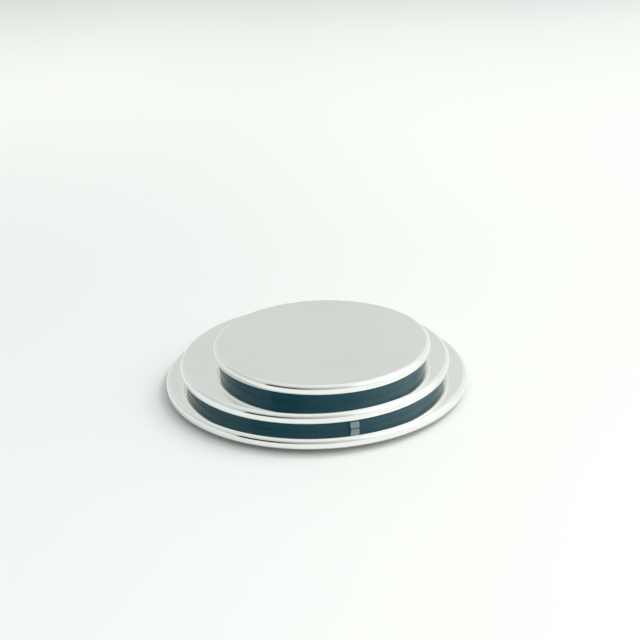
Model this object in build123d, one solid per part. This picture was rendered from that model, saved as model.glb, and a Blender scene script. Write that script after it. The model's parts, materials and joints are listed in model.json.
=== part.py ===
from build123d import *
import os
from math import atan2, cos, degrees, radians, sin

# Round watch demagnetizer: three polished plates of falling diameter with dark bands between them.
# Millimetres, +Z up. The origin is on the ground, under the centre of the base plate.
# The three tiers have centres of their own, so most pieces are placed about one of these points.
BASE_CENTRE = (0, 0)
MIDDLE_CENTRE = (-0.35, -0.9)
TOP_CENTRE = (1.5, -3.1)

# Polished plates
BASE_RADIUS = 37.5
MIDDLE_LEDGE = 4.25
TOP_LEDGE = 6.75
BASE_THICK = 2.3
MIDDLE_THICK = 2.3
TOP_THICK = 2.3
RIM_ROUND = 1.05
RIM_BREAK = 0.4
FLOOR_SKIN = 1.0
ROOF_SKIN = 1.1

# Bands
LOWER_BAND_HEIGHT = 2.1
UPPER_BAND_HEIGHT = 2.45
BAND_INSET = 1.1
BAND_WALL = 1.6
GROOVE_DEPTH = 0.4
GROOVE_GAP = 0.02
GROOVE_LAND = 0.6
FLANGE_WIDTH = 3.8

# Feet
FOOT_COUNT = 4
FOOT_HEIGHT = 1.1
FOOT_RADIUS = 3.5
FOOT_ROUND = 0.25
FOOT_EDGE = 1.45
FOOT_POCKET = 0.4
FOOT_POCKET_GAP = 0.1

# Coin cell and its bay
CELL_RADIUS = 12.25
CELL_HEIGHT = 5.0
CELL_ROUND = 0.5
CELL_STEP = 1.1
CELL_STEP_HEIGHT = 0.35
CELL_GAP = 0.1
BAY_MARGIN = 1.3
DOOR_GAP = 0.15
DOOR_RECESS = 0.05
DOOR_RIM_WALL = 0.8
LUG_COUNT = 3
LUG_ANGLE = 24
LUG_REACH = 1.5
LUG_HEIGHT = 0.6
LUG_GAP = 0.05
NOTCH_MARGIN = 2
NOTCH_CLEAR = 0.2
DOOR_TURN = 32
DOOR_START = 30
STOP_ANGLE = 4
STOP_GAP_ANGLE = 1
SLOT_LENGTH = 13.0
SLOT_WIDTH = 1.7
SLOT_DEPTH = 0.5
HOLDER_GAP = 0.15
HOLDER_WALL = 1.1
HOLDER_LIFT = 0.25
HOLDER_ROOF = 0.35
HOLDER_ROOF_BORE = 6.0
HOLDER_FLANGE = 1.7
HOLDER_FLANGE_THICK = 0.5
CONTACT_THICK = 0.2
CONTACT_WIDTH = 4.4
CONTACT_GAP = 0.1
CONTACT_FOOT = 1.6
CONTACT_REST = 0.3
SPRING_REACH = 8.0

# Fasteners: head radius, head height and shank radius
CASE_HEAD_RADIUS = 1.5
CASE_HEAD_HEIGHT = 1.0
CASE_SHANK = 0.8
SMALL_HEAD_RADIUS = 1.25
SMALL_HEAD_HEIGHT = 0.7
SMALL_SHANK = 0.7
HEAD_GAP = 0.15
HEAD_SINK = 0.2
SHANK_GAP = 0.1
THREAD_GAP = 0.01
THREAD_RUN_OUT = 0.2
DRIVE_SHARE = 0.62
HEAD_CROWN = 0.33
DRIVE_WIDTH = 0.42
DRIVE_DEPTH = 0.4

# Posts and bosses
CASE_SCREW_COUNT = 4
CASE_SCREW_START = 45
POST_RADIUS = 2.3
POST_EDGE = 1.4
POST_GAP = 0.3
CASE_BOSS_RADIUS = 2.6
CASE_BOSS_HEIGHT = 0.8
TOP_SCREW_COUNT = 3
TOP_SCREW_START = 90
TOP_BOSS_RADIUS = 1.7
TOP_SKIN = 0.9
COIL_SCREW_START = 30

# Circuit board and what is soldered to it
BOARD_THICK = 0.8
BOARD_LIFT = 1.2
BOARD_EDGE = 0.4
BOARD_SCREW_ANGLES = (10, 110, 200)
BOARD_BOSS_RADIUS = 2.2
BOARD_BOSS_CLEAR = 1.3
BOARD_SCREW_SINK = 0.05
CAPACITOR_SIZE = (4.3, 7.3, 3.1)
CAPACITOR_STEP = 27
CAPACITOR_GAP = 1.05
INDUCTOR_SIZE = (6.0, 6.0, 1.2)
CHIP_SIZE = (5.0, 5.0, 0.9)
TRANSISTOR_SIZE = (3.3, 3.3, 0.9)
DIODE_SIZE = (2.6, 4.0, 1.0)
RESISTOR_SIZE = (0.8, 1.6, 0.5)
CONNECTOR_SIZE = (2.8, 5.0, 1.2)
PART_RING = 5.2
INDUCTOR_ANGLE = 160
CHIP_ANGLE = 85
TRANSISTOR_ANGLES = (-14, 32)
DIODE_ANGLES = (-148, 178)
RESISTOR_ANGLES = (60, 66, 72, 98, 125, 131, 137)
LEAD_ANGLE = -135

# Coil
WEB = 0.5
COIL_CLEAR = 1.4
WINDING_INSET = 0.8
HUB_WALL = 0.85
CORE_RADIUS = 6.5
CORE_GAP = 0.05
PAD_THICK = 0.35
PAD_INSET = 1.5
EAR_RADIUS = 1.7
LEAD_RADIUS = 0.25
LEAD_SPACING = 2.0
LEAD_RISE = 0.9
LEAD_STEP = 1.0
LEAD_BEND = 1.0

# Start button and its switch
BUTTON_ANGLE = -75.1
BUTTON_WIDTH = 2.1
BUTTON_FOOT_GAP = 0.02
BUTTON_HEAD_GAP = 0.4
BUTTON_CORNER = 0.35
BUTTON_FIT = 0.06
BUTTON_PROUD = 0.6
BUTTON_EDGE = 0.2
BUTTON_TRAVEL = 0.25
BUTTON_REST_GAP = 0.1
FLANGE_THICK = 0.5
FLANGE_HALF_WIDTH = 1.7
STEM_LENGTH = 1.4
STEM_WIDTH = 1.4
STEM_HEIGHT = 0.7
PLUNGER_PROUD = 0.7
PLUNGER_SUNK = 0.6
PLUNGER_FIT = 0.08
SWITCH_SIZE = (2.7, 4.0, 1.25)
LED_SIZE = (0.8, 0.9, 0.7)
LED_GAP = 0.2
NOTCH_WIDTH = 4.6
NOTCH_GAP = 0.4

# Heights, from the ground up
BASE_LOW = FOOT_HEIGHT
BASE_HIGH = BASE_LOW + BASE_THICK
MIDDLE_LOW = BASE_HIGH + LOWER_BAND_HEIGHT
MIDDLE_HIGH = MIDDLE_LOW + MIDDLE_THICK
TOP_LOW = MIDDLE_HIGH + UPPER_BAND_HEIGHT
TOP_HIGH = TOP_LOW + TOP_THICK
FLOOR = BASE_LOW + FLOOR_SKIN
ROOF = TOP_HIGH - ROOF_SKIN
BOARD_LOW = FLOOR + BOARD_LIFT
BOARD_HIGH = BOARD_LOW + BOARD_THICK
CELL_LOW = FLOOR + CELL_GAP
CELL_HIGH = CELL_LOW + CELL_HEIGHT
LUG_LOW = FLOOR + LUG_GAP
LUG_HIGH = LUG_LOW + LUG_HEIGHT
HOLDER_LOW = LUG_HIGH + HOLDER_LIFT
HOLDER_CEILING = CELL_HIGH + CONTACT_THICK
BOSS_HIGH = FLOOR + CASE_BOSS_HEIGHT
BOBBIN_HIGH = ROOF - PAD_THICK
BUTTON_LOW = BASE_HIGH + BUTTON_FOOT_GAP
BUTTON_HIGH = MIDDLE_LOW - BUTTON_HEAD_GAP
BUTTON_AXIS = (BUTTON_LOW + BUTTON_HIGH) / 2
SWITCH_AXIS = BOARD_HIGH + SWITCH_SIZE[2] / 2

# Radii about the tier centres
MIDDLE_RADIUS = BASE_RADIUS - MIDDLE_LEDGE
TOP_RADIUS = MIDDLE_RADIUS - TOP_LEDGE
LOWER_BAND_OUT = MIDDLE_RADIUS - BAND_INSET
LOWER_BAND_IN = LOWER_BAND_OUT - BAND_WALL
UPPER_BAND_OUT = TOP_RADIUS - BAND_INSET
UPPER_BAND_IN = UPPER_BAND_OUT - BAND_WALL
CAVITY_RADIUS = LOWER_BAND_IN - GROOVE_GAP - GROOVE_LAND
ROOF_RADIUS = UPPER_BAND_IN - GROOVE_GAP - GROOVE_LAND
OPENING_RADIUS = UPPER_BAND_IN - FLANGE_WIDTH
FLANGE_PITCH = UPPER_BAND_IN - FLANGE_WIDTH / 2
BOARD_RADIUS = CAVITY_RADIUS - BOARD_EDGE
POST_PITCH = CAVITY_RADIUS - POST_EDGE - POST_RADIUS
FOOT_PITCH = BASE_RADIUS - RIM_ROUND - FOOT_EDGE - FOOT_RADIUS
BAY_RADIUS = CELL_RADIUS + BAY_MARGIN
DOOR_RADIUS = BAY_RADIUS - DOOR_GAP
LUG_RADIUS = DOOR_RADIUS + LUG_REACH
HOLDER_IN = CELL_RADIUS + HOLDER_GAP
HOLDER_OUT = HOLDER_IN + HOLDER_WALL
HOLDER_FLANGE_RADIUS = HOLDER_OUT + HOLDER_FLANGE
BOARD_SCREW_PITCH = HOLDER_FLANGE_RADIUS + BOARD_BOSS_CLEAR + BOARD_BOSS_RADIUS
PART_PITCH = CAVITY_RADIUS - PART_RING - INDUCTOR_SIZE[0] / 2
CAPACITOR_PITCH = HOLDER_FLANGE_RADIUS + CAPACITOR_GAP + CAPACITOR_SIZE[0] / 2
BOBBIN_RADIUS = OPENING_RADIUS - COIL_CLEAR
WINDING_RADIUS = BOBBIN_RADIUS - WINDING_INSET
HUB_RADIUS = CORE_RADIUS + CORE_GAP + HUB_WALL
LEAD_PITCH = WINDING_RADIUS + LEAD_RADIUS

# Distances outward along the button's line
FLANGE_FACE = LOWER_BAND_IN - BUTTON_REST_GAP
FLANGE_BACK = FLANGE_FACE - FLANGE_THICK
PLUNGER_TIP = FLANGE_BACK - STEM_LENGTH
SWITCH_FACE = PLUNGER_TIP - PLUNGER_PROUD
PLUNGER_BACK = SWITCH_FACE - PLUNGER_SUNK


def polar(centre, radius, angle):
    """Point at a radius and an angle in degrees about a centre."""
    return (centre[0] + radius * cos(radians(angle)), centre[1] + radius * sin(radians(angle)))


def around(centre, radius, count, start):
    """Evenly spaced points on a circle."""
    return [polar(centre, radius, start + 360 * i / count) for i in range(count)]


def disc(radius, low, high, centre=BASE_CENTRE):
    """Upright cylinder between two heights."""
    body = Cylinder(radius, high - low, align=(Align.CENTER, Align.CENTER, Align.MIN))
    return Pos(centre[0], centre[1], low) * body


def ring(outer, inner, low, high, centre=BASE_CENTRE):
    """Upright tube between two heights."""
    return disc(outer, low, high, centre) - disc(inner, low, high, centre)


def block(length, width, low, high, centre=BASE_CENTRE, angle=0):
    """Box between two heights, its length turned to an angle."""
    body = Box(length, width, high - low, align=(Align.CENTER, Align.CENTER, Align.MIN))
    return Pos(centre[0], centre[1], low) * Rot(0, 0, angle) * body


def spoke(inner, outer, width, low, high, centre, angle, aside=0):
    """Box that runs outward between two radii along an angle, or beside that line."""
    body = block(outer - inner, width, low, high, ((inner + outer) / 2, aside))
    return Pos(centre[0], centre[1], 0) * Rot(0, 0, angle) * body


def sector(outer, inner, low, high, middle, span, centre=BASE_CENTRE):
    """Part of an upright tube, between two angles."""
    start = middle - span / 2
    corners = [centre] + [polar(centre, 2 * outer, start + span * i / 4) for i in range(5)]
    wedge = Pos(0, 0, low) * extrude(make_face(Polyline(corners, close=True)), high - low)
    return ring(outer, inner, low, high, centre) & wedge


def soft_plate(radius, low, high, centre):
    """Round plate with a soft upper edge and a broken lower edge."""
    plate = disc(radius, low, high, centre)
    plate = fillet(plate.edges().filter_by(GeomType.CIRCLE).sort_by(Axis.Z)[-1], RIM_ROUND)
    return fillet(plate.edges().filter_by(GeomType.CIRCLE).sort_by(Axis.Z)[0], RIM_BREAK)


def band_groove(outer, inner, low, centre):
    """Shallow ring cut that a band stands in."""
    return ring(outer + GROOVE_GAP, inner - GROOVE_GAP, low, low + GROOVE_DEPTH, centre)


def screw(centre, seat, tip, head_radius, head_height, shank):
    """Pan-head screw: its head bears on the seat and its shank runs to the tip, up or down."""
    way = 1 if tip > seat else -1
    head_end = seat - way * head_height
    head = disc(head_radius, min(seat, head_end), max(seat, head_end), centre)
    crown = head.edges().filter_by(GeomType.CIRCLE).sort_by(Axis.Z)[0 if way > 0 else -1]
    head = fillet(crown, HEAD_CROWN * head_height)
    recess_end = head_end + way * DRIVE_DEPTH
    low, high = min(head_end, recess_end), max(head_end, recess_end)
    drive = 2 * head_radius * DRIVE_SHARE
    recess = block(drive, DRIVE_WIDTH, low, high, centre) + block(DRIVE_WIDTH, drive, low, high, centre)
    return head - recess + disc(shank, min(seat, tip), max(seat, tip), centre)


def case_points():
    return around(MIDDLE_CENTRE, POST_PITCH, CASE_SCREW_COUNT, CASE_SCREW_START)


def top_points():
    return around(TOP_CENTRE, FLANGE_PITCH, TOP_SCREW_COUNT, TOP_SCREW_START)


def coil_points():
    return around(TOP_CENTRE, FLANGE_PITCH, TOP_SCREW_COUNT, COIL_SCREW_START)


def board_points():
    return [polar(BASE_CENTRE, BOARD_SCREW_PITCH, angle) for angle in BOARD_SCREW_ANGLES]


def foot_points():
    return around(BASE_CENTRE, FOOT_PITCH, FOOT_COUNT, 0)


# Screw seats and tips
CASE_SEAT = BASE_LOW + HEAD_SINK + CASE_HEAD_HEIGHT
CASE_TIP = MIDDLE_HIGH - TOP_SKIN - THREAD_RUN_OUT
TOP_SEAT = MIDDLE_LOW + HEAD_SINK + SMALL_HEAD_HEIGHT
TOP_TIP = ROOF - THREAD_RUN_OUT
BOARD_TIP = FLOOR - BOARD_SCREW_SINK
COIL_SEAT = MIDDLE_HIGH + WEB
COIL_TIP = MIDDLE_LOW + TOP_SKIN + THREAD_RUN_OUT


def base_plate():
    plate = soft_plate(BASE_RADIUS, BASE_LOW, BASE_HIGH, BASE_CENTRE)
    plate -= disc(CAVITY_RADIUS, FLOOR, BASE_HIGH, MIDDLE_CENTRE)
    plate -= band_groove(LOWER_BAND_OUT, LOWER_BAND_IN, BASE_HIGH - GROOVE_DEPTH, MIDDLE_CENTRE)
    for point in foot_points():
        plate -= disc(FOOT_RADIUS + FOOT_POCKET_GAP, BASE_LOW, BASE_LOW + FOOT_POCKET, point)
    for point in case_points():
        plate += disc(CASE_BOSS_RADIUS, FLOOR, BOSS_HIGH, point)
        plate -= disc(CASE_HEAD_RADIUS + HEAD_GAP, BASE_LOW, CASE_SEAT, point)
        plate -= disc(CASE_SHANK + SHANK_GAP, CASE_SEAT, BOSS_HIGH, point)
    for point in board_points():
        plate += disc(BOARD_BOSS_RADIUS, FLOOR, BOARD_LOW, point)
        plate -= disc(SMALL_SHANK + THREAD_GAP, BOARD_TIP - THREAD_RUN_OUT, BOARD_LOW, point)
    plate -= disc(BAY_RADIUS, BASE_LOW, FLOOR)
    notch_reach = LUG_RADIUS + NOTCH_CLEAR
    for i in range(LUG_COUNT):
        locked = DOOR_START + 360 * i / LUG_COUNT
        notch_span = LUG_ANGLE + 2 * NOTCH_MARGIN
        plate -= sector(notch_reach, BAY_RADIUS - DOOR_GAP, BASE_LOW, FLOOR, locked - DOOR_TURN, notch_span)
        stop_middle = locked + LUG_ANGLE / 2 + STOP_GAP_ANGLE + STOP_ANGLE / 2
        plate += sector(LUG_RADIUS, BAY_RADIUS, FLOOR, LUG_HIGH, stop_middle, STOP_ANGLE)
    return plate


def foot_pads():
    pads = []
    for point in foot_points():
        pad = disc(FOOT_RADIUS, 0, BASE_LOW + FOOT_POCKET, point)
        pads.append(fillet(pad.edges().filter_by(GeomType.CIRCLE).sort_by(Axis.Z)[0], FOOT_ROUND))
    return pads


def battery_door():
    door = disc(DOOR_RADIUS, BASE_LOW + DOOR_RECESS, FLOOR)
    door += ring(DOOR_RADIUS, DOOR_RADIUS - DOOR_RIM_WALL, FLOOR, LUG_HIGH)
    for i in range(LUG_COUNT):
        locked = DOOR_START + 360 * i / LUG_COUNT
        door += sector(LUG_RADIUS, DOOR_RADIUS - DOOR_RIM_WALL, LUG_LOW, LUG_HIGH, locked, LUG_ANGLE)
    slot_low = BASE_LOW + DOOR_RECESS
    slot = block(SLOT_LENGTH - SLOT_WIDTH, SLOT_WIDTH, slot_low, slot_low + SLOT_DEPTH)
    for end in (-1, 1):
        slot_end = (end * (SLOT_LENGTH - SLOT_WIDTH) / 2, 0)
        slot += disc(SLOT_WIDTH / 2, slot_low, slot_low + SLOT_DEPTH, slot_end)
    return door - slot


def coin_cell():
    can = disc(CELL_RADIUS, CELL_LOW, CELL_HIGH - CELL_STEP_HEIGHT)
    can = fillet(can.edges().filter_by(GeomType.CIRCLE), CELL_ROUND)
    return can + disc(CELL_RADIUS - CELL_STEP, CELL_HIGH - CELL_STEP_HEIGHT, CELL_HIGH)


def battery_holder():
    holder = ring(HOLDER_OUT, HOLDER_IN, HOLDER_LOW, HOLDER_CEILING + HOLDER_ROOF)
    holder += ring(HOLDER_FLANGE_RADIUS, HOLDER_IN, BOARD_HIGH, BOARD_HIGH + HOLDER_FLANGE_THICK)
    holder += ring(HOLDER_OUT, HOLDER_ROOF_BORE, HOLDER_CEILING, HOLDER_CEILING + HOLDER_ROOF)
    window = CONTACT_WIDTH + 2 * CONTACT_GAP
    slot_in = HOLDER_IN - HOLDER_WALL
    slot_low = CELL_HIGH - CONTACT_GAP
    reach = HOLDER_FLANGE_RADIUS + CONTACT_GAP
    leg_out = HOLDER_OUT + CONTACT_THICK + CONTACT_GAP
    holder -= spoke(slot_in, leg_out, window, slot_low, HOLDER_CEILING, BASE_CENTRE, 0)
    holder -= spoke(HOLDER_OUT, leg_out, window, BOARD_HIGH, HOLDER_CEILING, BASE_CENTRE, 0)
    side_high = CELL_HIGH - CELL_STEP_HEIGHT
    holder -= spoke(slot_in, reach, window, BOARD_HIGH, side_high, BASE_CENTRE, 180)
    return holder


def battery_spring():
    """Leaf on the cell's upper face, with a leg that drops to the board outside the holder."""
    leg_out = HOLDER_OUT + CONTACT_THICK
    leaf = spoke(-SPRING_REACH, leg_out, CONTACT_WIDTH, CELL_HIGH, HOLDER_CEILING, BASE_CENTRE, 0)
    return leaf + spoke(HOLDER_OUT, leg_out, CONTACT_WIDTH, BOARD_HIGH, CELL_HIGH, BASE_CENTRE, 0)


def side_contact():
    """Blade that bears on the cell's side, with a foot on the board."""
    blade_high = CELL_HIGH - CELL_STEP_HEIGHT - CONTACT_REST
    blade_out = CELL_RADIUS + CONTACT_THICK
    blade = spoke(CELL_RADIUS, blade_out, CONTACT_WIDTH, BOARD_HIGH, blade_high, BASE_CENTRE, 180)
    foot_out = HOLDER_OUT + CONTACT_GAP + CONTACT_FOOT
    foot_high = BOARD_HIGH + CONTACT_THICK
    return blade + spoke(blade_out, foot_out, CONTACT_WIDTH, BOARD_HIGH, foot_high, BASE_CENTRE, 180)


def lower_band():
    low, high = BASE_HIGH - GROOVE_DEPTH, MIDDLE_LOW + GROOVE_DEPTH
    band = ring(LOWER_BAND_OUT, LOWER_BAND_IN, low, high, MIDDLE_CENTRE)
    return band - button_bar(LOWER_BAND_IN - BAND_WALL, LOWER_BAND_OUT + BAND_WALL, BUTTON_FIT)


def middle_plate():
    plate = soft_plate(MIDDLE_RADIUS, MIDDLE_LOW, MIDDLE_HIGH, MIDDLE_CENTRE)
    plate -= disc(OPENING_RADIUS, MIDDLE_LOW, MIDDLE_HIGH, TOP_CENTRE)
    plate -= band_groove(LOWER_BAND_OUT, LOWER_BAND_IN, MIDDLE_LOW, MIDDLE_CENTRE)
    plate -= band_groove(UPPER_BAND_OUT, UPPER_BAND_IN, MIDDLE_HIGH - GROOVE_DEPTH, TOP_CENTRE)
    for point in case_points():
        plate += disc(POST_RADIUS, BOSS_HIGH, MIDDLE_LOW, point)
        plate -= disc(CASE_SHANK + THREAD_GAP, BOSS_HIGH, CASE_TIP + THREAD_RUN_OUT, point)
    for point in top_points():
        plate -= disc(SMALL_HEAD_RADIUS + HEAD_GAP, MIDDLE_LOW, TOP_SEAT, point)
        plate -= disc(SMALL_SHANK + SHANK_GAP, TOP_SEAT, MIDDLE_HIGH, point)
    for point in coil_points():
        plate -= disc(SMALL_SHANK + THREAD_GAP, COIL_TIP - THREAD_RUN_OUT, MIDDLE_HIGH, point)
    return plate


def upper_band():
    low, high = MIDDLE_HIGH - GROOVE_DEPTH, TOP_LOW + GROOVE_DEPTH
    return ring(UPPER_BAND_OUT, UPPER_BAND_IN, low, high, TOP_CENTRE)


def top_plate():
    plate = soft_plate(TOP_RADIUS, TOP_LOW, TOP_HIGH, TOP_CENTRE)
    plate -= disc(ROOF_RADIUS, TOP_LOW, ROOF, TOP_CENTRE)
    plate -= band_groove(UPPER_BAND_OUT, UPPER_BAND_IN, TOP_LOW, TOP_CENTRE)
    for point in top_points():
        plate += disc(TOP_BOSS_RADIUS, MIDDLE_HIGH, ROOF, point)
        plate -= disc(SMALL_SHANK + THREAD_GAP, MIDDLE_HIGH, TOP_TIP + THREAD_RUN_OUT / 2, point)
    return plate


def small_screw(point, seat, tip):
    return screw(point, seat, tip, SMALL_HEAD_RADIUS, SMALL_HEAD_HEIGHT, SMALL_SHANK)


def case_screw(point):
    return screw(point, CASE_SEAT, CASE_TIP, CASE_HEAD_RADIUS, CASE_HEAD_HEIGHT, CASE_SHANK)


def circuit_board():
    board = disc(BOARD_RADIUS, BOARD_LOW, BOARD_HIGH, MIDDLE_CENTRE)
    board -= disc(HOLDER_OUT + CONTACT_GAP, BOARD_LOW, BOARD_HIGH)
    for point in case_points():
        board -= disc(POST_RADIUS + POST_GAP, BOARD_LOW, BOARD_HIGH, point)
    for point in board_points():
        board -= disc(SMALL_SHANK + SHANK_GAP, BOARD_LOW, BOARD_HIGH, point)
    notch_in = FLANGE_BACK - BUTTON_TRAVEL - NOTCH_GAP
    notch_out = LOWER_BAND_OUT
    return board - spoke(notch_in, notch_out, NOTCH_WIDTH, BOARD_LOW, BOARD_HIGH, MIDDLE_CENTRE, BUTTON_ANGLE)


def on_board(size, centre, radius, angle):
    """Component body standing on the board, its first side along the radius."""
    return block(size[0], size[1], BOARD_HIGH, BOARD_HIGH + size[2], polar(centre, radius, angle), angle)


def pulse_capacitors():
    """Three in the widest stretch between the holder and the edge of the middle plate's opening."""
    widest = degrees(atan2(TOP_CENTRE[1], TOP_CENTRE[0]))
    angles = [widest + step * CAPACITOR_STEP for step in (-1, 0, 1)]
    return [on_board(CAPACITOR_SIZE, BASE_CENTRE, CAPACITOR_PITCH, angle) for angle in angles]


def coil_connector():
    return on_board(CONNECTOR_SIZE, TOP_CENTRE, LEAD_PITCH - LEAD_STEP, LEAD_ANGLE)


def coil_bobbin():
    low = MIDDLE_HIGH
    bobbin = disc(BOBBIN_RADIUS, low, low + WEB, TOP_CENTRE)
    bobbin += disc(HUB_RADIUS, low, BOBBIN_HIGH, TOP_CENTRE)
    bobbin += disc(BOBBIN_RADIUS, BOBBIN_HIGH - WEB, BOBBIN_HIGH, TOP_CENTRE)
    bobbin -= disc(CORE_RADIUS + CORE_GAP, low + WEB, BOBBIN_HIGH, TOP_CENTRE)
    for i in range(TOP_SCREW_COUNT):
        angle = COIL_SCREW_START + 360 * i / TOP_SCREW_COUNT
        point = polar(TOP_CENTRE, FLANGE_PITCH, angle)
        bobbin += spoke(WINDING_RADIUS, FLANGE_PITCH, 2 * EAR_RADIUS, low, low + WEB, TOP_CENTRE, angle)
        bobbin += disc(EAR_RADIUS, low, low + WEB, point)
        bobbin -= disc(SMALL_SHANK + SHANK_GAP, low, low + WEB, point)
    slot_out = BOBBIN_RADIUS + EAR_RADIUS
    slot_width = LEAD_SPACING + 4 * LEAD_RADIUS
    return bobbin - spoke(WINDING_RADIUS, slot_out, slot_width, low, low + WEB, TOP_CENTRE, LEAD_ANGLE)


def coil_winding():
    return ring(WINDING_RADIUS, HUB_RADIUS, MIDDLE_HIGH + WEB, BOBBIN_HIGH - WEB, TOP_CENTRE)


def ferrite_core():
    return disc(CORE_RADIUS, MIDDLE_HIGH + WEB, BOBBIN_HIGH, TOP_CENTRE)


def coil_pad():
    return ring(BOBBIN_RADIUS - PAD_INSET, HUB_RADIUS, BOBBIN_HIGH, ROOF, TOP_CENTRE)


def coil_leads():
    """Two wires from the winding's rim, through the flange slot, down to the connector."""
    start = MIDDLE_HIGH + WEB + LEAD_RISE
    end = BOARD_HIGH + CONNECTOR_SIZE[2]
    step_low = end + LEAD_STEP
    route = [(LEAD_PITCH, 0, start), (LEAD_PITCH, 0, step_low + LEAD_STEP)]
    route += [(LEAD_PITCH - LEAD_STEP, 0, step_low), (LEAD_PITCH - LEAD_STEP, 0, end)]
    section = Plane((LEAD_PITCH, 0, start)) * Circle(LEAD_RADIUS)
    wire = sweep(section, path=FilletPolyline(*route, radius=LEAD_BEND))
    place = Pos(TOP_CENTRE[0], TOP_CENTRE[1], 0) * Rot(0, 0, LEAD_ANGLE)
    return [place * Pos(0, side * LEAD_SPACING / 2, 0) * wire for side in (-1, 1)]


def button_bar(inner, outer, gap, edge=0):
    """Soft-cornered bar through the lower band, grown all round by a gap; its outer end may be rounded."""
    width, height = BUTTON_WIDTH + 2 * gap, BUTTON_HIGH - BUTTON_LOW + 2 * gap
    bar = Pos((inner + outer) / 2, 0, BUTTON_AXIS) * Box(outer - inner, width, height)
    bar = fillet(bar.edges().filter_by(Axis.X), BUTTON_CORNER + gap)
    bar = fillet(bar.faces().sort_by(Axis.X)[-1].edges(), edge) if edge else bar
    return Pos(MIDDLE_CENTRE[0], MIDDLE_CENTRE[1], 0) * Rot(0, 0, BUTTON_ANGLE) * bar


def start_button():
    button = button_bar(FLANGE_BACK, LOWER_BAND_OUT + BUTTON_PROUD, 0, BUTTON_EDGE)
    flange = 2 * FLANGE_HALF_WIDTH
    button += spoke(FLANGE_BACK, FLANGE_FACE, flange, BUTTON_LOW, BUTTON_HIGH, MIDDLE_CENTRE, BUTTON_ANGLE)
    low, high = SWITCH_AXIS - STEM_HEIGHT / 2, SWITCH_AXIS + STEM_HEIGHT / 2
    return button + spoke(PLUNGER_TIP, FLANGE_BACK, STEM_WIDTH, low, high, MIDDLE_CENTRE, BUTTON_ANGLE)


def switch_plunger():
    low, high = SWITCH_AXIS - STEM_HEIGHT / 2, SWITCH_AXIS + STEM_HEIGHT / 2
    return spoke(PLUNGER_BACK, PLUNGER_TIP, STEM_WIDTH, low, high, MIDDLE_CENTRE, BUTTON_ANGLE)


def button_switch():
    depth, width, height = SWITCH_SIZE
    back = SWITCH_FACE - depth
    body = spoke(back, SWITCH_FACE, width, BOARD_HIGH, BOARD_HIGH + height, MIDDLE_CENTRE, BUTTON_ANGLE)
    pocket_back = PLUNGER_BACK - BUTTON_TRAVEL - PLUNGER_FIT
    half = STEM_HEIGHT / 2 + PLUNGER_FIT
    pocket_width = STEM_WIDTH + 2 * PLUNGER_FIT
    low, high = SWITCH_AXIS - half, SWITCH_AXIS + half
    return body - spoke(pocket_back, SWITCH_FACE, pocket_width, low, high, MIDDLE_CENTRE, BUTTON_ANGLE)


def status_led():
    depth, width, height = LED_SIZE
    aside = STEM_WIDTH / 2 + LED_GAP + width / 2
    inner = SWITCH_FACE + LED_GAP
    high = BOARD_HIGH + height
    return spoke(inner, inner + depth, width, BOARD_HIGH, high, MIDDLE_CENTRE, BUTTON_ANGLE, aside)


nodes = {
    "base_plate": base_plate(),
    "foot_pads": foot_pads(),
    "battery_door": battery_door(),
    "coin_cell": coin_cell(),
    "battery_holder": battery_holder(),
    "battery_spring": battery_spring(),
    "side_contact": side_contact(),
    "lower_band": lower_band(),
    "middle_plate": middle_plate(),
    "upper_band": upper_band(),
    "top_plate": top_plate(),
    "case_screws": [case_screw(p) for p in case_points()],
    "top_screws": [small_screw(p, TOP_SEAT, TOP_TIP) for p in top_points()],
    "board_screws": [small_screw(p, BOARD_HIGH, BOARD_TIP) for p in board_points()],
    "coil_screws": [small_screw(p, COIL_SEAT, COIL_TIP) for p in coil_points()],
    "circuit_board": circuit_board(),
    "pulse_capacitors": pulse_capacitors(),
    "boost_inductor": on_board(INDUCTOR_SIZE, BASE_CENTRE, PART_PITCH, INDUCTOR_ANGLE),
    "control_chip": on_board(CHIP_SIZE, BASE_CENTRE, PART_PITCH, CHIP_ANGLE),
    "power_transistors": [on_board(TRANSISTOR_SIZE, BASE_CENTRE, PART_PITCH, a) for a in TRANSISTOR_ANGLES],
    "rectifier_diodes": [on_board(DIODE_SIZE, BASE_CENTRE, PART_PITCH, a) for a in DIODE_ANGLES],
    "chip_resistors": [on_board(RESISTOR_SIZE, BASE_CENTRE, PART_PITCH, a) for a in RESISTOR_ANGLES],
    "coil_connector": coil_connector(),
    "coil_bobbin": coil_bobbin(),
    "coil_winding": coil_winding(),
    "ferrite_core": ferrite_core(),
    "coil_pad": coil_pad(),
    "coil_leads": coil_leads(),
    "start_button": start_button(),
    "switch_plunger": switch_plunger(),
    "button_switch": button_switch(),
    "status_led": status_led(),
}

os.makedirs("parts", exist_ok=True)
for name, shape in nodes.items():
    pieces = shape if isinstance(shape, list) else [shape]
    whole = Compound([solid for piece in pieces for solid in piece.solids()])
    export_step(whole, f"parts/{name}.step")
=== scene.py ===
import json
from math import cos, pi, radians, sin

import bmesh
import bpy
from mathutils import Matrix, Vector


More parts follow.
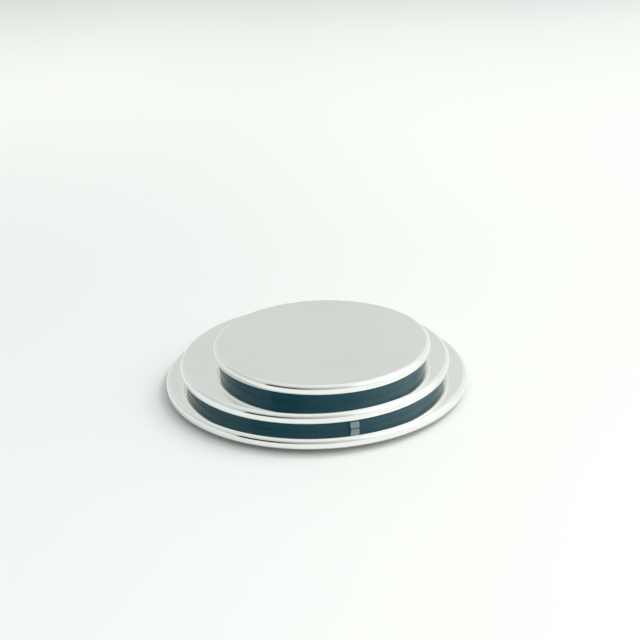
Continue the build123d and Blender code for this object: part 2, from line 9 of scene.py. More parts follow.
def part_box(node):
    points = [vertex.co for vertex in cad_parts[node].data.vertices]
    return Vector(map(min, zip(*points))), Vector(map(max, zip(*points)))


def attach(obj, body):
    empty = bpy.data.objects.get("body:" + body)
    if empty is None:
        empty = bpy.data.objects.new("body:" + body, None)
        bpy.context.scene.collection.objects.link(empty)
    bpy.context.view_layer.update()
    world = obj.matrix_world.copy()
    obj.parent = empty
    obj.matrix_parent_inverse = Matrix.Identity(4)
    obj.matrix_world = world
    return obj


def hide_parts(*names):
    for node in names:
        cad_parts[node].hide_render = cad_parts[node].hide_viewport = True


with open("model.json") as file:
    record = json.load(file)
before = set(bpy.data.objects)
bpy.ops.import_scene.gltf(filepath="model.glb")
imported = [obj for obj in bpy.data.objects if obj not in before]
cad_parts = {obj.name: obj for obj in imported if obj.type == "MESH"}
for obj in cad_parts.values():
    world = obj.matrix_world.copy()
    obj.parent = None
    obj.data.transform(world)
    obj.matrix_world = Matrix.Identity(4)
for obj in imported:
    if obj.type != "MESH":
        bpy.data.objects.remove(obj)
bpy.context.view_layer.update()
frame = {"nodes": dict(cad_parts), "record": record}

MM = 0.001

# The CAD's rims, eased a little, and how far the turned skins lie inside the CAD's facets
RIM_ROUND = 1.07 * MM
RIM_BREAK = 0.47 * MM
SKIN = 0.03 * MM
PLATE_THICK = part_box("base_plate")[1].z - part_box("base_plate")[0].z
SHARP_ANGLE = 35
CAD_WELD = 0.0005 * MM
FINE_WELD = 0.0002 * MM
LATHE_STEPS = 360
RIM_STEPS = 20

# How far from a plate's axis its posts and bosses reach
MIDDLE_POSTS_REACH = 29.5 * MM
TOP_BOSSES_REACH = 23.7 * MM

# The coil's outermost layer
COIL_TURNS = 6

# Legs of the chips, and the angles at which the chips stand round the board
LEG_REACH = 0.4 * MM
LEG_RISE = 0.38 * MM
LEG_THICK = 0.12 * MM
LEG_WIDE = 0.26 * MM
CHIP_ANGLE = radians(85)
CHIP_HALF = 2.5 * MM
TRANSISTOR_ANGLES = (radians(-14), radians(32))
TRANSISTOR_HALF = 1.65 * MM
CHIP_LEGS = 7
CHIP_LEG_PITCH = 0.6 * MM
TRANSISTOR_LEGS = 4
TRANSISTOR_LEG_PITCH = 0.65 * MM

# Camera: its distance is from the middle of the base plate
CAMERA_DISTANCE = 251.7 * MM
CAMERA_ELEVATION = radians(25.5)
CAMERA_AIM_UP = 0.051
CAMERA_AIM_RIGHT = 0.005
CAMERA_ROLL = 0.033
CAMERA_LENS = 56.25
CAMERA_SENSOR = 36.0

# Floor sheet's half width, and the soft key light, in metres and watts
FLOOR_REACH = 6.0
KEY_PLACE = (0.9, 0.6, 1.1)
KEY_TARGET = (0, 0, 0)
KEY_SIZE = 0.8
KEY_POWER = 10
KEY_COLOUR = (1, 1, 0.98)


def node_middle(node):
    low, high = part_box(node)
    return (low + high) / 2


def make_camera():
    """Looks down at the front of the puck, tipped and rolled a little as it was held."""
    data = bpy.data.cameras.new("camera")
    data.lens = CAMERA_LENS
    data.sensor_width = CAMERA_SENSOR
    data.clip_start = 0.01
    camera = bpy.data.objects.new("camera", data)
    bpy.context.scene.collection.objects.link(camera)
    aim = Matrix.Rotation(pi / 2 - CAMERA_ELEVATION, 4, "X")
    aim = aim @ Matrix.Rotation(CAMERA_AIM_UP, 4, "X")
    aim = aim @ Matrix.Rotation(-CAMERA_AIM_RIGHT, 4, "Y")
    aim = aim @ Matrix.Rotation(-CAMERA_ROLL, 4, "Z")
    back = Vector((0, -cos(CAMERA_ELEVATION), sin(CAMERA_ELEVATION)))
    camera.matrix_world = Matrix.Translation(node_middle("base_plate") + back * CAMERA_DISTANCE) @ aim
    bpy.context.scene.camera = camera


make_camera()


# Shader sums


class Sock:
    """A node's output that can be used in arithmetic."""

    def __init__(self, graph, socket):
        self.graph = graph
        self.socket = socket

    def sum(self, operation, first, second):
        return self.graph.node("ShaderNodeMath", {"operation": operation}, {0: first, 1: second})

    def __add__(self, other):
        return self.sum("ADD", self, other)

    def __radd__(self, other):
        return self.sum("ADD", other, self)

    def __sub__(self, other):
        return self.sum("SUBTRACT", self, other)

    def __rsub__(self, other):
        return self.sum("SUBTRACT", other, self)

    def __mul__(self, other):
        return self.sum("MULTIPLY", self, other)

    def __rmul__(self, other):
        return self.sum("MULTIPLY", other, self)

    def __truediv__(self, other):
        return self.sum("DIVIDE", self, other)

    def sine(self):
        return self.sum("SINE", self, 0)


class Graph:
    """A node tree, with one way to add and feed its nodes."""

    def __init__(self, tree):
        self.tree = tree
        self.tree.nodes.clear()

    def node(self, kind, settings=None, inputs=None, output=0):
        made = self.tree.nodes.new(kind)
        for key, value in (settings or {}).items():
            setattr(made, key, value)
        for key, value in (inputs or {}).items():
            self.feed(made.inputs[key], value)
        return Sock(self, made.outputs[output]) if len(made.outputs) else None

    def feed(self, socket, value):
        if isinstance(value, Sock):
            self.tree.links.new(value.socket, socket)
        elif isinstance(value, tuple) and len(value) == 3 and socket.type == "RGBA":
            socket.default_value = (*value, 1)
        else:
            socket.default_value = value

    def place(self, scale=(1, 1, 1), centre=(0, 0, 0)):
        """The piece's own coordinates, moved to a centre and scaled."""
        spot = self.node("ShaderNodeTexCoord", output="Object")
        moved = self.node("ShaderNodeVectorMath", {"operation": "SUBTRACT"}, {0: spot, 1: centre})
        return self.node("ShaderNodeVectorMath", {"operation": "MULTIPLY"}, {0: moved, 1: scale})

    def noise(self, size, detail=3.0, roughness=0.5, spot=None):
        """Cloudy values from 0 to 1 whose blotches are about the given size in metres."""
        where = spot or self.place()
        inputs = {"Vector": where, "Scale": 1 / size, "Detail": detail, "Roughness": roughness}
        return self.node("ShaderNodeTexNoise", {}, inputs)

    def spread(self, value, low, high, start=0.0, end=1.0):
        """Runs a value from one span to another, clamped."""
        inputs = {"Value": value, "From Min": low, "From Max": high, "To Min": start, "To Max": end}
        return self.node("ShaderNodeMapRange", {"interpolation_type": "SMOOTHSTEP"}, inputs)

    def blend(self, mask, first, second):
        """Mixes two colours."""
        return self.node("ShaderNodeMix", {"data_type": "RGBA"}, {0: mask, 6: first, 7: second}, output=2)

    def bump(self, height, distance):
        """Surface relief: the height's full span stands for the distance in metres."""
        return self.node("ShaderNodeBump", {}, {"Height": height, "Distance": distance})


class Finish(Graph):
    """One node material, built from a Principled shader and what feeds it."""

    def __init__(self, name):
        self.material = bpy.data.materials.new(name)
        self.material.use_nodes = True
        super().__init__(self.material.node_tree)

    def close(self, **inputs):
        """Ends the material: each input is a Principled socket's name with _ for the spaces."""
        named = {key.replace("_", " "): value for key, value in inputs.items()}
        shader = self.node("ShaderNodeBsdfPrincipled", {}, named)
        self.node("ShaderNodeOutputMaterial", {}, {"Surface": shader})
        return self.material


def polished_metal():
    """Mirror plating: a faint wave in the surface, hair-fine wiping marks and hazy patches."""
    f = Finish("polished_metal")
    wave = f.noise(9 * MM, 1.0, 0.3)
    peel = f.noise(1.4 * MM, 2.0, 0.4)
    haze = f.spread(f.noise(14 * MM, 4.0, 0.6), 0.42, 0.75)
    along = f.noise(0.25 * MM, 2.0, 0.6, f.place((0.04, 1, 1)))
    across = f.noise(0.3 * MM, 2.0, 0.6, f.place((1, 0.06, 1)))
    hair = f.spread(along, 0.66, 0.74) + f.spread(across, 0.68, 0.76)
    tone = f.blend(haze * 0.5 + hair * 0.3, (0.925, 0.945, 0.925), (0.88, 0.9, 0.88))
    relief = f.bump(wave + peel * 0.06, 0.022 * MM)
    gloss = 0.03 + 0.03 * haze + 0.05 * hair
    return f.close(Base_Color=tone, Metallic=1.0, Roughness=gloss, Normal=relief)


def dark_band():
    """Glossy moulded plastic, dark blue-green, with faint flow streaks round the ring and a little dust."""
    f = Finish("dark_band")
    flow = f.noise(6 * MM, 3.0, 0.55, f.place((0.25, 0.25, 3.0)))
    dust = f.spread(f.noise(0.35 * MM, 2.0, 0.5), 0.70, 0.78)
    tone = f.blend(f.spread(flow, 0.3, 0.7), (0.014, 0.083, 0.118), (0.023, 0.102, 0.138))
    tone = f.blend(dust * 0.25, tone, (0.16, 0.2, 0.21))
    relief = f.bump(f.noise(0.9 * MM, 2.0, 0.4), 0.004 * MM)
    return f.close(Base_Color=tone, Roughness=0.10 + 0.2 * dust, Specular_IOR_Level=0.26, Normal=relief)


def satin_metal():
    """Turned face: fine rings about the door's centre, crossed by a few wear scratches and finger haze."""
    f = Finish("satin_metal")
    spot = f.place((1, 1, 0), DOOR_CENTRE)
    radius = f.node("ShaderNodeVectorMath", {"operation": "LENGTH"}, {0: spot}, output="Value")
    rings = f.noise(0.09 * MM, 3.0, 0.7, f.node("ShaderNodeCombineXYZ", {}, {0: radius}))
    coarse = f.noise(0.8 * MM, 2.0, 0.5, f.node("ShaderNodeCombineXYZ", {}, {0: radius}))
    haze = f.spread(f.noise(5 * MM, 4.0, 0.6), 0.4, 0.7)
    scratch = f.spread(f.noise(0.3 * MM, 3.0, 0.6, f.place((0.05, 1, 1))), 0.68, 0.72)
    tone = f.blend(rings, (0.56, 0.57, 0.57), (0.74, 0.75, 0.75))
    tone = f.blend(scratch * 0.6 + haze * 0.2, tone, (0.82, 0.83, 0.82))
    relief = f.bump(rings + coarse * 0.5 - scratch * 0.6, 0.006 * MM)
    gloss = 0.24 + 0.12 * rings + 0.08 * haze
    return f.close(Base_Color=tone, Metallic=1.0, Roughness=gloss, Normal=relief)


def foot_rubber():
    """Moulded rubber: pebbled, dusty where it touches the bench."""
    f = Finish("foot_rubber")
    pebble = f.node("ShaderNodeTexVoronoi", {}, {"Vector": f.place(), "Scale": 1 / (0.32 * MM)})
    height = f.node("ShaderNodeSeparateXYZ", {}, {0: f.place()}, output="Z")
    dust = f.spread(height, 0.35 * MM, 0) * f.spread(f.noise(1.2 * MM, 4.0, 0.65), 0.35, 0.7)
    tone = f.blend(f.noise(2 * MM), (0.018, 0.018, 0.019), (0.034, 0.034, 0.035))
    tone = f.blend(dust * 0.55, tone, (0.2, 0.19, 0.175))
    relief = f.bump(pebble, 0.03 * MM)
    return f.close(Base_Color=tone, Roughness=0.68 + 0.2 * dust, Normal=relief)


def plated_steel(name, dark, light, rub, blotch):
    """Plated or plain steel: cloudy tone, brushed streaks, pale rubbed specks."""
    f = Finish(name)
    cloud = f.noise(blotch, 4.0, 0.6)
    streak = f.noise(0.06 * MM, 3.0, 0.6, f.place((1, 0.08, 1)))
    speck = f.spread(f.noise(0.2 * MM, 2.0, 0.6), 0.66, 0.72)
    tone = f.blend(cloud * 0.6 + streak * 0.4, dark, light)
    tone = f.blend(speck * 0.5, tone, rub)
    relief = f.bump(streak + cloud * 0.5, 0.004 * MM)
    gloss = 0.2 + 0.16 * cloud + 0.1 * streak
    return f.close(Base_Color=tone, Metallic=1.0, Roughness=gloss, Normal=relief)


def moulded(name, dark, light, rough, texture):
    """Moulded plastic: spark-eroded texture, slow flow marks and a little dust."""
    f = Finish(name)
    flow = f.noise(3 * MM, 3.0, 0.5, f.place((0.4, 1, 1)))
    grain = f.noise(texture, 3.0, 0.65)
    dust = f.spread(f.noise(0.25 * MM, 3.0, 0.6), 0.66, 0.76)
    tone = f.blend(flow, dark, light)
    tone = f.blend(dust * 0.2, tone, (0.4, 0.39, 0.37))
    relief = f.bump(grain, 0.008 * MM)
    return f.close(Base_Color=tone, Roughness=rough + 0.12 * grain + 0.1 * dust, Normal=relief)


def board_laminate():
    """Green solder mask: tracks and a poured area show through, with tinned rings round the vias."""
    f = Finish("board_laminate")
    web = f.noise(2.6 * MM, 1.0, 0.4)
    edge = f.spread(((web * 14).sine() * 0.5 + 0.5), 0.44, 0.52)
    vias = f.node("ShaderNodeTexVoronoi", {}, {"Vector": f.place((1, 1, 0)), "Scale": 1 / (3.4 * MM)})
    tinned = f.spread(vias, 0.13, 0.11)
    drilled = f.spread(vias, 0.06, 0.05)
    warp = f.noise(0.5 * MM, 1.0, 0.3, f.place((1, 0.2, 1)))
    weft = f.noise(0.5 * MM, 1.0, 0.3, f.place((0.2, 1, 1)))
    weave = (warp + weft) * 0.5
    tone = f.blend(edge, (0.008, 0.095, 0.045), (0.022, 0.175, 0.07))
    tone = f.blend(weave * 0.25, tone, (0.05, 0.2, 0.09))
    tone = f.blend(tinned, tone, (0.72, 0.7, 0.66))
    tone = f.blend(drilled, tone, (0.02, 0.03, 0.02))
    relief = f.bump(edge * 0.5 + tinned - drilled * 2 + weave * 0.2, 0.03 * MM)
    metal = tinned * (1 - drilled)
    gloss = 0.28 + 0.1 * weave + 0.05 * edge
    return f.close(Base_Color=tone, Metallic=metal, Roughness=gloss, Normal=relief)


def ferrite():
    """Sintered ferrite: near-black, granular, with small pits and pale chipped specks."""
    f = Finish("ferrite")
    grain = f.noise(0.12 * MM, 4.0, 0.7)
    spots = f.node("ShaderNodeTexVoronoi", {}, {"Vector": f.place(), "Scale": 1 / (0.45 * MM)})
    pits = f.spread(spots, 0.22, 0.12)
    chips = f.spread(f.noise(0.4 * MM, 4.0, 0.7), 0.68, 0.73)
    tone = f.blend(grain, (0.028, 0.028, 0.032), (0.075, 0.075, 0.08))
    tone = f.blend(chips * 0.7, tone, (0.2, 0.2, 0.2))
    relief = f.bump(grain - pits * 1.5, 0.02 * MM)
    return f.close(Base_Color=tone, Roughness=0.55 + 0.2 * grain, Normal=relief)


def copper_wire():
    """Enamelled copper: warm gloss that varies from turn to turn, with thin spots in the varnish."""
    f = Finish("copper_wire")
    turns = f.noise(0.3 * MM, 1.0, 0.4, f.place((0.05, 0.05, 1)))
    thin = f.spread(f.noise(0.9 * MM, 3.0, 0.6), 0.55, 0.7)
    tone = f.blend(turns, (0.40, 0.135, 0.05), (0.66, 0.27, 0.12))
    tone = f.blend(thin * 0.4, tone, (0.8, 0.42, 0.25))
    relief = f.bump(f.noise(0.15 * MM, 2.0, 0.5), 0.003 * MM)
    gloss = 0.24 + 0.12 * turns + 0.08 * thin
    return f.close(Base_Color=tone, Metallic=0.9, Roughness=gloss, Coat_Weight=0.5, Normal=relief)


def pad_foam():
    """Closed-cell foam: round cells of uneven size."""
    f = Finish("pad_foam")
    cells = f.node("ShaderNodeTexVoronoi", {}, {"Vector": f.place(), "Scale": 1 / (0.28 * MM)})
    cloud = f.noise(1.5 * MM, 3.0, 0.6)
    tone = f.blend(cells, (0.05, 0.05, 0.052), (0.14, 0.14, 0.143))
    tone = f.blend(cloud * 0.3, tone, (0.18, 0.175, 0.17))
    relief = f.bump(cells, 0.06 * MM)
    return f.close(Base_Color=tone, Roughness=0.85 - 0.1 * cells, Normal=relief)


def pale_light_guide():
    """Milky guide: slightly cloudy inside, glossy outside, with a frosted rim."""
    f = Finish("pale_light_guide")
    cloud = f.noise(0.7 * MM, 3.0, 0.55)
    speck = f.spread(f.noise(0.12 * MM, 2.0, 0.5), 0.62, 0.72)
    tone = f.blend(cloud, (0.22, 0.33, 0.34), (0.30, 0.41, 0.41))
    tone = f.blend(speck * 0.3, tone, (0.5, 0.56, 0.55))
    relief = f.bump(f.noise(0.3 * MM, 2.0, 0.5), 0.003 * MM)
    gloss = 0.12 + 0.1 * speck
    return f.close(Base_Color=tone, Roughness=gloss, Coat_Weight=0.6, Coat_Roughness=0.04, Normal=relief)


def led_lens():
    """Clear epoxy over a yellow phosphor pool."""
    f = Finish("led_lens")
    cloud = f.noise(0.3 * MM, 3.0, 0.5)
    pool = f.spread(f.noise(0.5 * MM, 1.0, 0.3), 0.45, 0.6)
    tone = f.blend(pool, (0.82, 0.82, 0.74), (0.86, 0.72, 0.22))
    relief = f.bump(cloud, 0.006 * MM)
    return f.close(Base_Color=tone, Roughness=0.16 + 0.1 * cloud, Coat_Weight=0.5, Normal=relief)


DOOR_CENTRE = tuple(node_middle("battery_door"))

# Dark, light and rubbed tones of the steels
CELL_TONES = ((0.6, 0.6, 0.58), (0.78, 0.78, 0.76), (0.86, 0.86, 0.85))
CONTACT_TONES = ((0.62, 0.59, 0.52), (0.8, 0.77, 0.7), (0.9, 0.88, 0.82))
SCREW_TONES = ((0.34, 0.34, 0.35), (0.62, 0.62, 0.62), (0.8, 0.8, 0.8))

FINISHES = {
    "polished_metal": polished_metal(),
    "dark_band": dark_band(),
    "satin_metal": satin_metal(),
    "foot_rubber": foot_rubber(),
    "cell_steel": plated_steel("cell_steel", *CELL_TONES, 4 * MM),
    "contact_nickel": plated_steel("contact_nickel", *CONTACT_TONES, 2 * MM),
    "screw_steel": plated_steel("screw_steel", *SCREW_TONES, 1 * MM),
    "black_nylon": moulded("black_nylon", (0.016, 0.016, 0.017), (0.036, 0.036, 0.038), 0.45, 0.12 * MM),
    "white_nylon": moulded("white_nylon", (0.72, 0.70, 0.64), (0.84, 0.83, 0.79), 0.42, 0.15 * MM),
    "capacitor_resin": moulded("capacitor_resin", (0.60, 0.36, 0.07), (0.78, 0.52, 0.14), 0.38, 0.1 * MM),
    "chip_resin": moulded("chip_resin", (0.022, 0.022, 0.024), (0.05, 0.05, 0.052), 0.5, 0.06 * MM),
    "switch_housing": moulded("switch_housing", (0.06, 0.06, 0.062), (0.12, 0.12, 0.122), 0.25, 0.2 * MM),
    "board_laminate": board_laminate(),
    "ferrite": ferrite(),
    "copper_wire": copper_wire(),
    "pad_foam": pad_foam(),
    "pale_light_guide": pale_light_guide(),
    "led_lens": led_lens(),
}
SLOT_OF = {part["node"]: part["material_slot"] for part in frame["record"]["subparts"]}


# Meshes


def link(name, mesh):
    piece = bpy.data.objects.new(name, mesh)
    bpy.context.scene.collection.objects.link(piece)
    return piece


def lathe(name, outline, centre):
    """Closed solid of revolution about an upright axis, from an outline of (radius, height) pairs."""
    mesh = bpy.data.meshes.new(name)
    build = bmesh.new()
    rings = []
    for radius, height in outline:
        if radius < 1e-9:
            rings.append([build.verts.new((centre.x, centre.y, height))])
        else:
            turns = [2 * pi * i / LATHE_STEPS for i in range(LATHE_STEPS)]
            spots = [(centre.x + radius * cos(t), centre.y + radius * sin(t), height) for t in turns]
            rings.append([build.verts.new(spot) for spot in spots])
    for lower, upper in zip(rings, rings[1:]):
        for i in range(LATHE_STEPS):
            j = (i + 1) % LATHE_STEPS
            if len(lower) == 1 and len(upper) == 1:
                continue
            if len(lower) == 1:
                build.faces.new((lower[0], upper[i], upper[j]))
            elif len(upper) == 1:
                build.faces.new((lower[i], lower[j], upper[0]))
            else:
                build.faces.new((lower[i], lower[j], upper[j], upper[i]))
    bmesh.ops.recalc_face_normals(build, faces=build.faces)
    build.to_mesh(mesh)
    build.free()
    return link(name, mesh)


def rim_outline(radius, low, high):
    """Half section of a plate with a soft upper edge, from the axis below to the axis above."""
    outline = [(0, low)]
    corners = ((RIM_BREAK, low + RIM_BREAK, -pi / 2), (RIM_ROUND, high - RIM_ROUND, 0))
    for rounding, height, start in corners:
        for i in range(RIM_STEPS + 1):
            turn = start + pi / 2 * i / RIM_STEPS
            outline.append((radius - rounding + rounding * cos(turn), height + rounding * sin(turn)))
    outline.append((0, high))
    return outline


def cad_copy(name, node):
    """A welded copy of a CAD node's mesh."""
    mesh = frame["nodes"][node].data.copy()
    mesh.name = name
    mesh.materials.clear()
    build = bmesh.new()
    build.from_mesh(mesh)
    bmesh.ops.remove_doubles(build, verts=build.verts, dist=CAD_WELD)
    build.to_mesh(mesh)
    build.free()
    return link(name, mesh)


def settle(piece):
    """Turns a piece's modifiers into plain mesh."""
    done = bpy.data.meshes.new_from_object(piece.evaluated_get(bpy.context.evaluated_depsgraph_get()))
    piece.modifiers.clear()
    piece.data = done
    return piece


def trim(piece, shape):
    """Keeps what of a piece lies inside another solid, and drops that solid."""
    cut = piece.modifiers.new("cut", "BOOLEAN")
    cut.operation = "INTERSECT"
    cut.solver = "EXACT"
    cut.object = shape
    settle(piece)
    bpy.data.objects.remove(shape)
    return piece


def smooth(piece):
    """Smooth shading that breaks at real edges and keeps flats flat."""
    build = bmesh.new()
    build.from_mesh(piece.data)
    bmesh.ops.remove_doubles(build, verts=build.verts, dist=FINE_WELD)
    for face in build.faces:
        face.smooth = True
    for edge in build.edges:
        edge.smooth = edge.calc_face_angle(0) < radians(SHARP_ANGLE)
    build.to_mesh(piece.data)
    build.free()
    weigh = piece.modifiers.new("weigh", "WEIGHTED_NORMAL")
    weigh.keep_sharp = True
    weigh.weight = 100
    return settle(piece)


def stand_for(piece, node, body="case"):
    """The piece takes the CAD node's place, finish and body."""
    if not piece.data.materials:
        piece.data.materials.append(FINISHES[SLOT_OF[node]])
    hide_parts(node)
    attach(piece, body)


def make_plate(node, posts_radius=0.0):
    """The CAD plate inside a finely turned skin, so that its rim reflects cleanly.

    The skin goes down round the posts, where the plate has some."""
    low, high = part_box(node)
    radius = (high.x - low.x) / 2 - SKIN
    under = high.z - PLATE_THICK + SKIN
    outline = rim_outline(radius, under, high.z - SKIN)
    if posts_radius:
        foot = low.z - MM
        outline = [(0, foot), (posts_radius, foot), (posts_radius, under)] + outline[1:]
    plate = cad_copy("polished_" + node, node)
    trim(plate, lathe(node + "_skin", outline, node_middle(node)))
    stand_for(smooth(plate), node)


def make_band(node):
    """The CAD band inside a finely turned skin."""
    low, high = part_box(node)
    radius = (high.x - low.x) / 2 - SKIN
    outline = [(0, low.z), (radius, low.z), (radius, high.z), (0, high.z)]
    band = cad_copy("glossy_" + node, node)
    trim(band, lathe(node + "_skin", outline, node_middle(node)))
    stand_for(smooth(band), node)


def grow(name, material, sizes, build):
    """A piece grown by a geometry tree; the sizes are the tree's named inputs."""
    group = bpy.data.node_groups.new(name, "GeometryNodeTree")
    group.interface.new_socket("Geometry", in_out="OUTPUT", socket_type="NodeSocketGeometry")
    for key, size in sizes.items():
        kind = {int: "NodeSocketInt", float: "NodeSocketFloat"}.get(type(size), "NodeSocketVector")
        group.interface.new_socket(key, in_out="INPUT", socket_type=kind)
    graph = Graph(group)
    entry = group.nodes.new("NodeGroupInput")
    shape = build(graph, {key: Sock(graph, entry.outputs[key]) for key in sizes})
    real = graph.node("GeometryNodeRealizeInstances", {}, {0: shape})
    done = graph.node("GeometryNodeSetMaterial", {}, {"Geometry": real, "Material": material})
    graph.node("NodeGroupOutput", {}, {0: done})
    piece = link(name, bpy.data.meshes.new(name))
    growth = piece.modifiers.new("growth", "NODES")
    growth.node_group = group
    for item in group.interface.items_tree:
        if item.in_out == "INPUT":
            growth[item.identifier] = sizes[item.name]
    return settle(piece)


def wire_turns(graph, size):
    """Rings of wire stacked on one another, each a round section swept round the coil."""
    loop = graph.node("GeometryNodeCurvePrimitiveCircle", {}, {"Resolution": 180, "Radius": size["Radius"]})
    section = graph.node("GeometryNodeCurvePrimitiveCircle", {}, {"Resolution": 10, "Radius": size["Wire"]})
    turn = graph.node("GeometryNodeCurveToMesh", {}, {"Curve": loop, "Profile Curve": section})
    step = graph.node("ShaderNodeCombineXYZ", {}, {2: size["Wire"] * 2})
    line = {"Count": size["Turns"], "Start Location": size["Start"], "Offset": step}
    stack = graph.node("GeometryNodeMeshLine", {}, line)
    return graph.node("GeometryNodeInstanceOnPoints", {}, {"Points": stack, "Instance": turn})


def make_winding():
    """A plain core for the coil's inner layers, with its outermost layer as separate turns."""
    low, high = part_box("coil_winding")
    middle = node_middle("coil_winding")
    wire = (high.z - low.z) / COIL_TURNS / 2
    radius = (high.x - low.x) / 2
    hub = radius / 2
    face = radius - 2 * wire
    outline = [(hub, low.z), (face, low.z), (face, high.z), (hub, high.z), (hub, low.z)]
    core = smooth(lathe("inner_layers", outline, middle))
    stand_for(core, "coil_winding")
    start = (middle.x, middle.y, low.z + wire)
    sizes = {"Radius": radius - wire, "Wire": wire, "Turns": COIL_TURNS, "Start": start}
    outer = grow("outer_turns", FINISHES["copper_wire"], sizes, wire_turns)
    stand_for(smooth(outer), "coil_winding")


def bent_legs(graph, size):
    """Rows of flat legs that leave a chip's sides and bend down to the board."""
    out = size["Half"] + size["Reach"]
    start = graph.node("ShaderNodeCombineXYZ", {}, {0: size["Half"], 2: size["Rise"]})
    corner = graph.node("ShaderNodeCombineXYZ", {}, {0: out, 2: size["Rise"]})
    end = graph.node("ShaderNodeCombineXYZ", {}, {0: out})
    ends = {"Resolution": 8, "Start": start, "Middle": corner, "End": end}
    path = graph.node("GeometryNodeCurveQuadraticBezier", {}, ends)
    strip = {"Width": size["Thick"], "Height": size["Wide"]}
    section = graph.node("GeometryNodeCurvePrimitiveQuadrilateral", {}, strip)
    sweep = {"Curve": path, "Profile Curve": section, "Fill Caps": True}
    leg = graph.node("GeometryNodeCurveToMesh", {}, sweep)
    first = graph.node("ShaderNodeCombineXYZ", {}, {1: (1 - size["Legs"]) * size["Pitch"] * 0.5})
    step = graph.node("ShaderNodeCombineXYZ", {}, {1: size["Pitch"]})
    along = {"Count": size["Legs"], "Start Location": first, "Offset": step}
    line = graph.node("GeometryNodeMeshLine", {}, along)
    row = graph.node("GeometryNodeInstanceOnPoints", {}, {"Points": line, "Instance": leg})
    still = {"Count": size["Sides"], "Offset": (0.0, 0.0, 0.0)}
    sides = graph.node("GeometryNodeMeshLine", {}, still)
    swing = graph.node("GeometryNodeInputIndex") * (2 * pi) / size["Sides"]
    turned = graph.node("ShaderNodeCombineXYZ", {}, {2: swing})
    round_chip = {"Points": sides, "Instance": row, "Rotation": turned}
    rows = graph.node("GeometryNodeInstanceOnPoints", {}, round_chip)
    facing = graph.node("ShaderNodeCombineXYZ", {}, {2: size["Turn"]})
    put = {0: rows, "Translation": size["Place"], "Rotation": facing}
    return graph.node("GeometryNodeTransform", {}, put)


def make_legs(name, angle, half, sides, legs, pitch):
    """Legs for a chip that stands on the board at an angle round the base plate's middle."""
    middle = node_middle("control_chip") - node_middle("base_plate")
    ring = Vector((middle.x, middle.y)).length
    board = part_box("circuit_board")[1].z
    place = (ring * cos(angle), ring * sin(angle), board + LEG_THICK / 2)
    sizes = {
        "Half": half,
        "Reach": LEG_REACH,
        "Rise": LEG_RISE,
        "Thick": LEG_THICK,
        "Wide": LEG_WIDE,
        "Legs": legs,
        "Pitch": pitch,
        "Sides": sides,
        "Turn": angle,
        "Place": place,
    }
    piece = grow(name, FINISHES["contact_nickel"], sizes, bent_legs)
    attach(piece, "case")


def make_button():
    """The CAD button, smoothed, on the body that it moves with."""
    stand_for(smooth(cad_copy("milky_start_button", "start_button")), "start_button", "button")


make_plate("base_plate")
make_plate("middle_plate", MIDDLE_POSTS_REACH)
make_plate("top_plate", TOP_BOSSES_REACH)
make_band("lower_band")
make_band("upper_band")
make_button()
make_winding()
make_legs("control_chip_legs", CHIP_ANGLE, CHIP_HALF, 4, CHIP_LEGS, CHIP_LEG_PITCH)
for number, angle in enumerate(TRANSISTOR_ANGLES, 1):
    name = f"transistor_{number}_legs"
    make_legs(name, angle, TRANSISTOR_HALF, 2, TRANSISTOR_LEGS, TRANSISTOR_LEG_PITCH)
for node, piece in frame["nodes"].items():
    for place in piece.material_slots:
        place.material = FINISHES[SLOT_OF[node]]


# Floor, light and surroundings


def make_floor():
    """Pale sheet with painted shade: it greys towards the back and the left, where the light on the floor
    falls off.
    """
    f = Finish("pale_floor")
    across = f.node("ShaderNodeSeparateXYZ", {}, {0: f.place()}, output=0)
    along = f.node("ShaderNodeSeparateXYZ", {}, {0: f.place()}, output=1)
    # Painted shade: the floor is greyer and bluer on the left at the front, away from the key light on the
    # right.
    left = f.spread(across, 0.09, -0.09) * f.spread(along, 0.45, 0)
    # Painted shade: the floor greys into the distance, a little more at the back right and less at the back
    # left.
    back = f.spread(along, -0.14, 0.12) * 0.26 + f.spread(along, 0.1, 1.7) * 0.74
    sideways_shade = f.spread(across, 0, 0.3) * 0.2 - f.spread(across, 0, -0.2) * 0.2
    back = back + sideways_shade * f.spread(along, 0.1, 0.5)
    cloud = f.noise(0.4, 2.0, 0.5)
    tone = f.blend(cloud, (0.912, 0.916, 0.898), (0.928, 0.931, 0.914))
    # The painted left shade and painted back shade are laid over the sheet's own tone.
    tone = f.blend(left, tone, (0.835, 0.85, 0.848))
    tone = f.blend(back, tone, (0.60, 0.635, 0.62))
    material = f.close(Base_Color=tone, Roughness=0.6)
    mesh = bpy.data.meshes.new("floor")
    low, high = -FLOOR_REACH, FLOOR_REACH
    corners = [(low, low, 0), (high, low, 0), (high, high, 0), (low, high, 0)]
    mesh.from_pydata(corners, [], [(0, 1, 2, 3)])
    mesh.materials.append(material)
    link("floor", mesh)


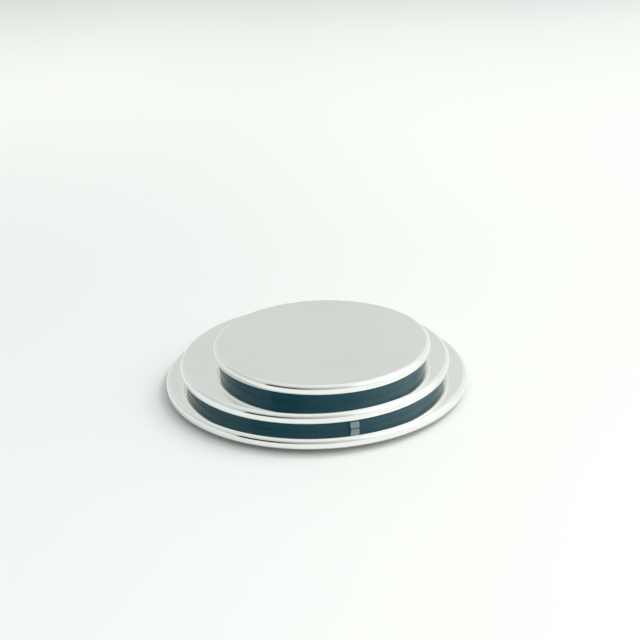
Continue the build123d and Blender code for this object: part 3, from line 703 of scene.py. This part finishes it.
def make_panel(name, place, target, size, power, colour):
    """A round soft light that isn't seen in the plates."""
    data = bpy.data.lights.new(name, "AREA")
    data.shape = "DISK"
    data.size = size
    data.energy = power
    data.color = colour
    lamp = bpy.data.objects.new(name, data)
    bpy.context.scene.collection.objects.link(lamp)
    lamp.location = place
    lamp.rotation_mode = "QUATERNION"
    lamp.rotation_quaternion = (Vector(place) - Vector(target)).to_track_quat("Z", "Y")
    lamp.visible_glossy = False


def make_surroundings():
    """Soft white tent: brightest high up and to the right, with one dark gap low at the front left."""
    world = bpy.data.worlds.new("studio")
    bpy.context.scene.world = world
    world.use_nodes = True
    g = Graph(world.node_tree)
    way = g.node("ShaderNodeTexCoord", output="Generated")
    x, y, z = (g.node("ShaderNodeSeparateXYZ", {}, {0: way}, output=i) for i in range(3))
    swing = g.node("ShaderNodeMath", {"operation": "ARCTAN2"}, {0: x, 1: 0 - y})
    right = g.spread(x, -0.7, 0.7)
    low_tent = 0.7 + 0.03 * right + 0.13 * g.spread(x, 0.03, 0.3)
    low_tent = low_tent + 0.05 * g.spread(x * x, 0.025, 0.065)
    high_tent = 0.76 + 0.26 * right
    tent = low_tent + (high_tent - low_tent) * g.spread(z, 0.62, 0.9)
    tent = tent * (1 - 0.24 * g.spread(0 - y, 0.1, 0.7))
    window = g.spread(swing, radians(20), radians(60)) * g.spread(swing, radians(125), radians(95))
    tent = tent + 0.8 * window * g.spread(z, 0.1, 0.3) * g.spread(z, 0.95, 0.7)
    fade = g.spread(swing, radians(15), radians(-25))
    shade = g.spread(z, 0.38, 0.46) * g.spread(z, 0.74, 0.62)
    shade = shade * g.spread(swing, radians(-150), radians(-110)) * fade
    gap = g.spread(z, 0.52, 0.46) * g.spread(swing, radians(-61), radians(-57))
    gap = gap * (1 - 0.85 * g.spread(swing, radians(-35), radians(0)))
    gap = gap * g.spread(swing, radians(40), radians(15))
    level = tent * (1 - 0.2 * shade) * (1 - 0.93 * gap)
    tint = g.blend(right, (0.965, 1.0, 0.975), (0.985, 1.0, 0.97))
    glow = g.node("ShaderNodeBackground", {}, {"Color": tint, "Strength": level})
    g.node("ShaderNodeOutputWorld", {}, {"Surface": glow})


make_floor()
make_surroundings()
make_panel("key", KEY_PLACE, KEY_TARGET, KEY_SIZE, KEY_POWER, KEY_COLOUR)
bpy.context.scene.view_settings.view_transform = "Standard"
